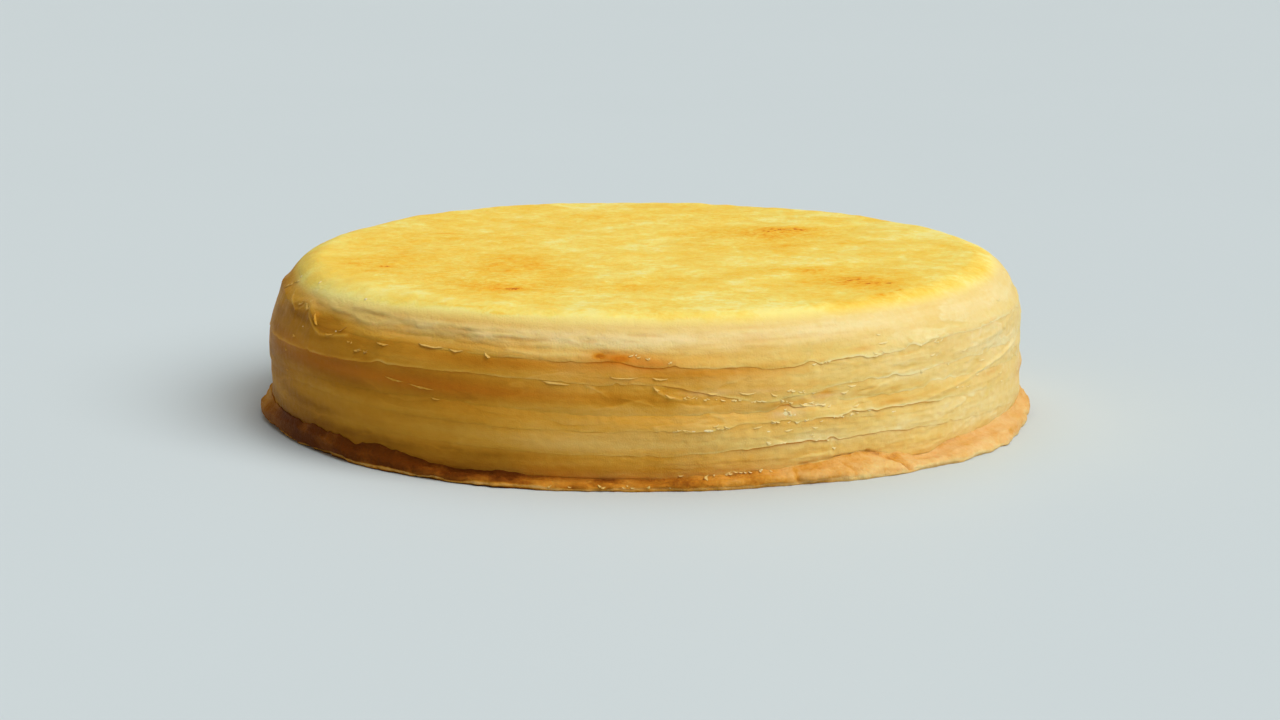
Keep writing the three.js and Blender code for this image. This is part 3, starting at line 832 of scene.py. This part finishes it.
def top_piece(side, finish):
    """The top crepe. Returns its hem."""
    outlines = round_the_cake(solid_outlines("top_crepe"))
    thin_lip(outlines, TOP_LIP, "top_crepe")
    profile = rows_along(outlines, TOP_ROWS, 2, TOP_LIP + 2)
    last = sum(TOP_ROWS[:TOP_LIP])
    azimuths = azimuths_of(profile)
    radius, heights = profile[:, :, 0], profile[:, :, 1]
    points = profile_in_space(profile)
    shown = np.ones_like(heights)
    shown[:, last + LIP_ROWS:] = 0
    on_top = np.clip((heights - TOP_BEGINS) / TOP_BLEND, 0, 1)
    flat = 0.16 * waves(points, 43, 12, 40) + 0.07 * waves(points, 44, 3, 9) - 0.26
    flat += 0.12 * bell((radius - 99) / 6) * streaks(points, 45, 2, 5, 4)
    wrinkled = near(azimuths, -16, 50) * bell((heights - WRINKLES_HEIGHT) / WRINKLES_HALF_HEIGHT)
    fold = streaks(points, 46, 1.2, 3, 8)
    groove_shade = wrinkled * np.clip(-fold, 0, 1)
    wrinkles = wrinkled * (0.19 * fold + 0.13 * streaks(points, 48, 0.6, 1.4, 6))
    relief, pale = side_relief("top_crepe", azimuths, heights, points, 41)
    relief = relief * (1 - on_top) + flat * on_top + wrinkles
    # Painted shade: more amber in the grooves of the wrinkles.
    amber = side_spots(azimuths, heights, AMBER) * (1 - on_top) + 0.3 * groove_shade
    colour_lip("top_crepe", heights, last, pale, amber)
    cream = side_spots(azimuths, heights, CREAMY) * np.clip((CREAM_ENDS - heights) / CREAM_BLEND, 0, 1)
    side_coloured = SIDE_COLOUR_ENDS - 2.5 * near(azimuths, -72, 34)
    facing = outward(profile) * on_top[:, :, None] + np.array([1, 0]) * (1 - on_top[:, :, None])
    profile = profile + facing * (shown * relief)[:, :, None]
    hem = curl_out(profile, last, "top_crepe")
    side.add(profile, sum(TOP_ROWS[:2]), last + LIP_BOTTOM_ROW + 1)
    attributes = {
        "browning": top_browning(points),
        "side_browning_and_shade": side_browning_and_shade(azimuths, heights),
        # Painted shade: less cream in the grooves of the wrinkles.
        "cream": cream * (1 - np.clip(groove_shade, 0, 1)),
        "amber": amber,
        # edge: paler edges, with the painted highlight on the lip and the painted light of crumpled sheets.
        "edge": pale * shown * (1 - on_top),
        "side": np.clip((side_coloured - heights) / SIDE_COLOUR_BLEND, 0, 1),
        "mottling": 1 - 0.7 * np.clip((radius - mottled_radius(azimuths)) / MOTTLING_FADE, 0, 1),
        "texture": raggedness(azimuths),
    }
    revolved("top_crepe", profile, attributes, finish)
    return hem


# The base crepe.

BASE_ROWS = [1, 4, 3, 3, 10, 12, 4, 1]
BASE_CREST = 3
BASE_FRILL = 6
CREST_THICKNESS = 0.7
LOWEST_SIDE = 2.6  # the height down to which the side's radius is known
LOWEST_CREST = 2.7
OVERLAP = 0.1  # how far the collar reaches into the side, and how far the frill stays within the solid's
BASE_BULGE = 0.7
SMOOTH_ROWS, ROUGH_ROWS = 5, 11  # below the crest, where its relief starts and is full
PALE_HEM_ROWS = 2.2
CREST_WAVES = [[0.35, 70], [0.25, 200], [0.15, 420]]  # [height, how many round the cake]
FRILL_WAVES = [[0.6, 80], [0.45, 190], [0.3, 420]]
LIFT_WAVES = [[0.5, 120], [0.4, 40]]
CREST_SEED, FRILL_SEED, LIFT_SEED = 71, 74, 77


def summed_waves(rows, seed):
    return sum(height * wander(AZIMUTHS, count, seed + number) for number, (height, count) in enumerate(rows))


def base_outlines(side):
    """The outlines of the base with a ragged crest and a wavy frill, and how wide it may be."""
    outlines = round_the_cake(solid_outlines("base_crepe"))
    widest = outlines[:, :, 0].max(axis=1) - OVERLAP
    crest_points = slice(BASE_CREST - 1, BASE_CREST + 2)
    crest = summed_waves(CREST_WAVES, CREST_SEED) * (1 + 0.8 * near(AZIMUTHS, -50, 45))
    outlines[:, crest_points, 1] += crest[:, None]
    too_low = np.clip(LOWEST_CREST - outlines[:, BASE_CREST, 1], 0, None)
    outlines[:, crest_points, 1] += too_low[:, None]
    against = side.at(AZIMUTHS, np.maximum(outlines[:, BASE_CREST - 1, 1], LOWEST_SIDE)) - OVERLAP
    outlines[:, BASE_CREST - 1, 0] = against
    outlines[:, BASE_CREST, 0] = against + CREST_THICKNESS / 2
    outlines[:, BASE_CREST + 1, 0] = against + CREST_THICKNESS
    reach = summed_waves(FRILL_WAVES, FRILL_SEED) - 0.9 - 0.4 * near(AZIMUTHS, 180, 45)
    outlines[:, BASE_FRILL:BASE_FRILL + 2, 0] += reach[:, None]
    outlines[:, BASE_FRILL, 1] += np.clip(summed_waves(LIFT_WAVES, LIFT_SEED), -0.4, 0.3)
    return outlines, widest


def base_piece(side, finish):
    outlines, widest = base_outlines(side)
    profile = rows_along(outlines, BASE_ROWS, 2, BASE_FRILL + 1)
    first = sum(BASE_ROWS[:BASE_CREST])
    last = sum(BASE_ROWS[:BASE_FRILL])
    azimuths = azimuths_of(profile)
    heights = profile[:, :, 1]
    points = profile_in_space(profile)
    shown = np.zeros_like(heights)
    shown[:, first:last + 2] = 1
    line_height, pale = line_relief(azimuths, heights)
    crumpled, crumple_pale = crumples(azimuths, points, 85)
    folds = wander(azimuths, 150, 81) * wander(azimuths, 47, 82)
    relief = sheet_edges("base_crepe", azimuths, heights) + line_height + 0.5 * folds
    relief += 0.2 * waves(points, 83, 1.8, 4.5) + 0.1 * waves(points, 84, 1.5, 2.2)
    relief += 1.5 * crumpled
    relief += BASE_BULGE * np.sin(math.pi * share_between(profile, first, last))
    outside = share_between(profile, first + SMOOTH_ROWS, first + ROUGH_ROWS)
    profile = profile + outward(profile) * (shown * outside * relief)[:, :, None]
    profile[:, :, 0] = np.minimum(profile[:, :, 0], widest[:, None])
    profile[:, :, 1] = np.maximum(profile[:, :, 1], outlines[:, -1, 1][:, None])
    side.add(profile, first, last)
    # Browner on the front left, partly as painted shade.
    browning = round_values(azimuths, BASE_LEVELS) + side_spots(azimuths, heights, BASE_BROWNED)
    browning += 0.06 * folds + 0.06 * waves(points, 86, 8, 25)
    pale_hem = bell((np.arange(profile.shape[1]) - last) / PALE_HEM_ROWS)
    pale_hem = pale_hem * (0.6 + 1.2 * near(azimuths, -40, 35))
    attributes = {
        "browning": browning,
        "cream": 0.3 * near(azimuths, 62, 34),
        # Paler edges: lines and hem, with the painted highlights and shade of crumpled sheets.
        "edge": pale + crumple_pale + pale_hem,
        "texture": raggedness(azimuths),
    }
    revolved("base_crepe", profile, attributes, finish)


# Flakes and smears.

def flake(side, azimuth, height, length, width, rise, curl, rng):
    """A thin strip that is stuck to the side along its top edge and curls out at its lower one."""
    along = np.linspace(-0.5, 0.5, FLAKE_COLUMNS)
    down = np.linspace(0, 1, FLAKE_ROWS)[:, None]
    taper = np.clip(1 - (2 * along) ** 2, 0.05, 1) * (1 + 0.3 * rng.uniform(-1, 1, FLAKE_COLUMNS))
    bow = 0.5 * length * rng.uniform(-0.3, 0.6)
    azimuths = azimuth + length * along / MM_PER_DEGREE + 0 * down
    heights = height + rise * length * along + bow * along ** 2 - width * taper * down
    uneven = 1 + 0.25 * rng.uniform(-1, 1, FLAKE_COLUMNS)
    lifted = side.at(azimuths, heights) + curl * taper * down ** 2 * uneven
    outer = in_space(lifted + 0.4 * FLAKE_THICKNESS, azimuths, heights)
    inner = in_space(lifted - 0.6 * FLAKE_THICKNESS, azimuths, heights)
    return slab(outer, inner)


def flakes_piece(side, finish):
    rng = np.random.default_rng(5)
    made = [flake(side, *row, rng) for row in FLAKES]
    for _ in range(RANDOM_FLAKES):
        azimuth = rng.uniform(*FLAKE_STRETCH)
        height = rng.choice(FLAKE_HEIGHTS) + rng.uniform(-1.2, 1.2)
        length, width = rng.uniform(1.2, 3.5), rng.uniform(0.25, 0.45)
        rise, curl = rng.uniform(-0.15, 0.15), rng.uniform(0.1, 0.3)
        made.append(flake(side, azimuth, height, length, width, rise, curl, rng))
    paleness = [0] * len(made)
    for azimuth, height, end_azimuth, end_height, count in FLECKS:
        for share in rng.uniform(0, 1, count):
            place = azimuth + share * (end_azimuth - azimuth)
            level = height + share * (end_height - height) + rng.uniform(-0.35, 0.35)
            length, width = rng.uniform(0.5, 1.7), rng.uniform(0.2, 0.45)
            rise, curl = rng.uniform(-0.5, 0.5), rng.uniform(0.1, 0.3)
            made.append(flake(side, place, level, length, width, rise, curl, rng))
            # How much paler each fleck is: partly torn thin sheet, partly painted highlight.
            paleness.append(rng.uniform(0.3, 1) * FLECK_PALENESS_AND_HIGHLIGHT)
    points, faces = joined(made)
    azimuths = np.degrees(np.arctan2(points[:, 0], -points[:, 1]))
    paler = np.repeat(paleness, len(points) // len(made))
    attributes = {"browning": side_browning_and_shade(azimuths, points[:, 2]) - paler}
    mesh_object("flakes", points, faces, attributes, finish)


def smear(side, azimuth, height, half_length, half_height, thickness, rng):
    """A low uneven mound on the side, sunk in at its rim."""
    across, down = np.meshgrid(np.linspace(-1, 1, SMEAR_COLUMNS), np.linspace(1, -1, SMEAR_ROWS))
    reach = np.maximum(np.abs(across), np.abs(down)) / np.maximum(np.hypot(across, down), 1e-6)
    across, down = across * reach, down * reach
    azimuths = azimuth + half_length * across / MM_PER_DEGREE
    heights = height + half_height * down
    radius = side.at(azimuths, heights)
    places = in_space(radius, azimuths, heights)
    lumps = 1 + 0.5 * waves(places, int(rng.integers(1000)), 0.6, 2)
    mound = thickness * (1 - across ** 2 - down ** 2) * lumps
    outer = in_space(radius + mound - SMEAR_RIM_DEPTH, azimuths, heights)
    inner = in_space(radius - SMEAR_BACK_DEPTH, azimuths, heights)
    return slab(outer, inner)


def smears_piece(side, finish):
    rng = np.random.default_rng(6)
    points, faces = joined([smear(side, *row, rng) for row in SMEARS_AND_GLINTS])
    # The smears of cream and the painted glints, as one piece.
    mesh_object("cream_smears_and_glints", points, faces, {}, finish)


# Materials.

def colour(red, green, blue):
    """A colour given as it looks on screen, 0 to 255, as Blender's linear colour."""
    def linear(value):
        value /= 255
        return value / 12.92 if value <= 0.04045 else ((value + 0.055) / 1.055) ** 2.4
    return linear(red), linear(green), linear(blue), 1


class Nodes:
    """A material's node tree, with short ways to add its nodes."""

    def __init__(self, name):
        self.material = bpy.data.materials.new(name)
        self.material.use_nodes = True
        self.tree = self.material.node_tree
        self.tree.nodes.clear()

    def add(self, kind, inputs=(), **settings):
        node = self.tree.nodes.new("ShaderNode" + kind)
        for key, value in settings.items():
            setattr(node, key, value)
        for key, value in dict(inputs).items():
            self.put(node.inputs[key], value)
        return node

    def put(self, socket, value):
        if isinstance(value, bpy.types.NodeSocket):
            self.tree.links.new(value, socket)
        else:
            socket.default_value = value

    def attribute(self, name):
        return self.add("Attribute", attribute_name=name).outputs["Fac"]

    def math(self, operation, first, second):
        return self.add("Math", {0: first, 1: second}, operation=operation).outputs[0]

    def plus(self, first, *others):
        for other in others:
            first = self.math("ADD", first, other)
        return first

    def minus(self, first, second):
        return self.math("SUBTRACT", first, second)

    def times(self, first, second):
        return self.math("MULTIPLY", first, second)

    def ranged(self, value, low, high, to_low, to_high):
        """A value scaled from the range low to high to another range, and held within it."""
        inputs = {"Value": value, "From Min": low, "From Max": high, "To Min": to_low, "To Max": to_high}
        return self.add("MapRange", inputs, clamp=True).outputs["Result"]

    def noise(self, scale, stretch=(1, 1, 1), detail=4.0, roughness=0.55, distortion=0.0):
        """Noise with scale bumps a metre, fewer along an axis whose stretch is under 1."""
        place = self.add("TexCoord").outputs["Object"]
        placed = self.add("Mapping", {"Vector": place, "Scale": stretch}).outputs["Vector"]
        inputs = {"Vector": placed, "Scale": scale, "Detail": detail, "Roughness": roughness}
        return self.add("TexNoise", {**inputs, "Distortion": distortion}).outputs["Fac"]

    def ramp(self, value, stops):
        """The colour that a value has between stops, each [place, red, green, blue]."""
        node = self.add("ValToRGB", {"Fac": value})
        elements = node.color_ramp.elements
        while len(elements) < len(stops):
            elements.new(1)
        for element, (place, *shade) in zip(elements, stops):
            element.position = place
            element.color = colour(*shade)
        return node.outputs["Color"]

    def mix(self, share, first, second):
        node = self.add("Mix", data_type="RGBA")
        self.put(node.inputs["Factor"], share)
        colours = [socket for socket in node.inputs if socket.type == "RGBA"]
        self.put(colours[0], first)
        self.put(colours[1], second)
        return [socket for socket in node.outputs if socket.type == "RGBA"][0]

    def finish(self, shade, roughness, height, relief, subsurface):
        bump = self.add("Bump", {"Height": height, "Distance": relief, "Strength": 1.0})
        shader = self.add("BsdfPrincipled", {
            "Base Color": shade,
            "Roughness": roughness,
            "Normal": bump.outputs["Normal"],
            "Subsurface Weight": subsurface,
            "Subsurface Radius": (1.0, 0.6, 0.35),
            "Subsurface Scale": 0.0012,
            "IOR": 1.3,
            "Specular IOR Level": 0.06,
        })
        output = self.add("OutputMaterial")
        self.tree.links.new(shader.outputs["BSDF"], output.inputs["Surface"])
        return self.material


CREAM = colour(250, 222, 174)
# The amber of moist crepe, also used as painted shade under lips and in grooves.
AMBER_AND_SHADE_TINT = colour(208, 123, 28)
SIDE_SHADES = [
    [0.0, 240, 219, 156],
    [0.14, 236, 207, 132],
    [0.28, 231, 196, 112],
    [0.42, 227, 182, 94],
    [0.54, 222, 171, 78],
    [0.64, 218, 162, 60],
    [0.73, 210, 149, 45],
    [0.81, 196, 134, 34],
    [0.89, 170, 112, 25],
    [1.0, 130, 76, 12],
]
BASE_SHADES = [
    [0.0, 237, 216, 146],
    [0.3, 232, 190, 116],
    [0.5, 225, 169, 88],
    [0.65, 214, 150, 56],
    [0.8, 186, 118, 32],
    [0.9, 150, 86, 22],
    [1.0, 108, 54, 12],
]
TOP_SHADES = [
    [0.0, 250, 233, 140],
    [0.09, 250, 225, 116],
    [0.2, 249, 214, 96],
    [0.4, 247, 200, 74],
    [0.6, 246, 184, 52],
    [0.78, 243, 164, 36],
    [0.9, 224, 130, 24],
    [1.0, 165, 82, 16],
]


def side_shade(nodes, streaked, name="browning"):
    """How browned a crepe's edge is, with its streaks and pale hems. The paleness of the edges includes
    painted highlights on lips and crumpled sheets, and painted shade in their creases.
    """
    browning = nodes.attribute(name)
    for texture, strength in streaked:
        varied = nodes.ranged(texture, 0.25, 0.75, -strength, strength)
        browning = nodes.plus(browning, nodes.times(varied, nodes.attribute("texture")))
    return nodes.minus(browning, nodes.times(nodes.attribute("edge"), 0.3))


def ambered(nodes, shade):
    """Tints a shade where the crepe is amber: partly moist crepe,
    partly painted shade under lips, in hollows and in grooves.
    """
    return nodes.mix(nodes.ranged(nodes.attribute("amber"), 0, 1, 0, 1), shade, AMBER_AND_SHADE_TINT)


def creamed(nodes, shade, scale):
    """Covers a shade with cream in broken patches."""
    broken = nodes.ranged(nodes.noise(scale, (0.3, 0.3, 1), 5), 0.35, 0.62, 0.3, 1.2)
    cream = nodes.times(nodes.attribute("cream"), broken)
    return nodes.mix(nodes.ranged(cream, 0.05, 1, 0, 0.9), shade, CREAM)


def layers_material():
    nodes = Nodes("layers")
    long_streaks = nodes.noise(300, (0.06, 0.06, 1), 4)
    short_streaks = nodes.noise(800, (0.2, 0.2, 1), 4)
    mottling = nodes.noise(500, detail=5)
    blotches = nodes.noise(170, (0.6, 0.6, 1), 4)
    streaked = [(long_streaks, 0.09), (short_streaks, 0.05), (mottling, 0.05), (blotches, 0.1)]
    shade = nodes.ramp(side_shade(nodes, streaked), SIDE_SHADES)
    shade = creamed(nodes, ambered(nodes, shade), 520)
    roughness = nodes.ranged(mottling, 0.3, 0.7, 0.34, 0.52)
    height = nodes.plus(nodes.times(short_streaks, 0.6), nodes.noise(2600, detail=3))
    return nodes.finish(shade, roughness, height, relief=0.00014, subsurface=0.3)


def flake_material():
    nodes = Nodes("flakes")
    # Flakes are paler than the side: partly thin crepe, partly painted highlight on their torn edges.
    paler = nodes.minus(nodes.attribute("browning"), 0.22)
    varied = nodes.ranged(nodes.noise(700), 0.3, 0.7, -0.1, 0.1)
    shade = nodes.ramp(nodes.plus(paler, varied), SIDE_SHADES)
    return nodes.finish(shade, 0.35, nodes.noise(1500), relief=0.0001, subsurface=0.0)


def top_material():
    nodes = Nodes("top_crepe")
    broad = nodes.noise(50, detail=3)
    patches = nodes.noise(130, detail=6, roughness=0.66, distortion=0.3)
    lace = nodes.noise(480, detail=5, roughness=0.62, distortion=0.5)
    specks = nodes.noise(1300, detail=3)
    browning = nodes.attribute("browning")
    mottling = nodes.attribute("mottling")
    spread = nodes.times(nodes.ranged(browning, 0.1, 0.8, 0.1, 0.7), mottling)
    laced = nodes.times(nodes.ranged(lace, 0.34, 0.66, -0.5, 0.5), spread)
    patchy = nodes.times(nodes.ranged(patches, 0.34, 0.66, -0.14, 0.14), mottling)
    cloudy = nodes.ranged(broad, 0.35, 0.65, -0.12, 0.12)
    where_burnt = nodes.ranged(browning, 0.5, 0.95, 0, 1)
    burnt = nodes.times(nodes.ranged(specks, 0.62, 0.72, 0, 0.3), where_burnt)
    top_colour = nodes.ramp(nodes.plus(browning, laced, patchy, cloudy, burnt), TOP_SHADES)
    streaked = [(nodes.noise(300, (0.06, 0.06, 1), 4), 0.1), (lace, 0.05)]
    side = side_shade(nodes, streaked, "side_browning_and_shade")
    side_colour = ambered(nodes, nodes.ramp(side, SIDE_SHADES))
    shade = creamed(nodes, nodes.mix(nodes.attribute("side"), top_colour, side_colour), 480)
    roughness = nodes.ranged(lace, 0.3, 0.7, 0.4, 0.58)
    height = nodes.plus(nodes.times(lace, 1.2), nodes.noise(1700, detail=3))
    return nodes.finish(shade, roughness, height, relief=0.00018, subsurface=0.3)


def base_material():
    nodes = Nodes("base_crepe")
    pores = nodes.noise(1100, detail=5, roughness=0.65)
    patches = nodes.noise(260, (0.5, 0.5, 1), 5)
    shade = nodes.ramp(side_shade(nodes, [(patches, 0.16), (pores, 0.1)]), BASE_SHADES)
    shade = creamed(nodes, shade, 520)
    roughness = nodes.ranged(pores, 0.3, 0.7, 0.38, 0.6)
    return nodes.finish(shade, roughness, pores, relief=0.0004, subsurface=0.25)


def cream_material():
    nodes = Nodes("cream")
    clots = nodes.noise(900, detail=4)
    # Cream, also the colour of the painted glints among the smears.
    shade = nodes.ramp(clots, [[0.3, 246, 216, 150], [0.7, 252, 234, 186]])
    roughness = nodes.ranged(clots, 0.3, 0.7, 0.3, 0.45)
    return nodes.finish(shade, roughness, clots, relief=0.0003, subsurface=0.3)


# The scene around the cake.

SENSOR_MM = 36
LENS_MM = 113.09
CAMERA_PLACE = (-0.0011767, -1.2129, 0.25205)  # in metres
LOOKS_DOWN = 0.1933  # in radians
NEAREST, FURTHEST = 0.05, 50  # what the camera sees, in metres
FLOOR_REACH = 12  # in metres
SKY_TINT = (1, 0.98, 0.95, 1)
SKY_STRENGTH = 0.22
SUN_SOFTNESS = 50  # how wide each is, in degrees
SUN_TINT = (1, 0.99, 0.97)


def camera():
    data = bpy.data.cameras.new("camera")
    data.sensor_width = SENSOR_MM
    data.lens = LENS_MM
    data.clip_start, data.clip_end = NEAREST, FURTHEST
    view = new_object("camera", data)
    view.location = CAMERA_PLACE
    view.rotation_euler = (math.pi / 2 - LOOKS_DOWN, 0, 0)
    bpy.context.scene.camera = view


def floor():
    nodes = Nodes("floor")
    shade = nodes.ramp(nodes.noise(3), [[0.0, 206, 217, 221], [1.0, 209, 220, 224]])
    nodes.finish(shade, 0.5, nodes.noise(40), relief=0.00001, subsurface=0.0)
    mesh = bpy.data.meshes.new("floor")
    corners = [(x * FLOOR_REACH, y * FLOOR_REACH, 0) for x, y in ((-1, -1), (1, -1), (1, 1), (-1, 1))]
    mesh.from_pydata(corners, [], [(0, 1, 2, 3)])
    mesh.materials.append(nodes.material)
    plane = new_object("floor", mesh)


def sun(name, azimuth, elevation, strength):
    """A soft distant light that shines from the azimuth and elevation given."""
    data = bpy.data.lights.new(name, "SUN")
    data.energy = strength
    data.angle = math.radians(SUN_SOFTNESS)
    data.color = SUN_TINT
    light = new_object(name, data)
    light.rotation_euler = (math.radians(90 - elevation), 0, math.radians(azimuth))


def lights():
    world = bpy.data.worlds.new("studio")
    world.use_nodes = True
    background = world.node_tree.nodes["Background"]
    background.inputs["Color"].default_value = SKY_TINT
    background.inputs["Strength"].default_value = SKY_STRENGTH
    bpy.context.scene.world = world
    sun("key", azimuth=54, elevation=47, strength=2.6)
    sun("back", azimuth=-170, elevation=60, strength=0.6)
    bpy.context.scene.view_settings.view_transform = "Standard"


def main():
    layers = layers_material()
    side = Side()
    hem = top_piece(side, top_material())
    for number, band in enumerate(BANDS[1:]):
        hem = band_piece(band, hem, side, layers, BAND_SEED + 10 * number)
    base_piece(side, base_material())
    flakes_piece(side, flake_material())
    smears_piece(side, cream_material())
    floor()
    camera()
    lights()


main()
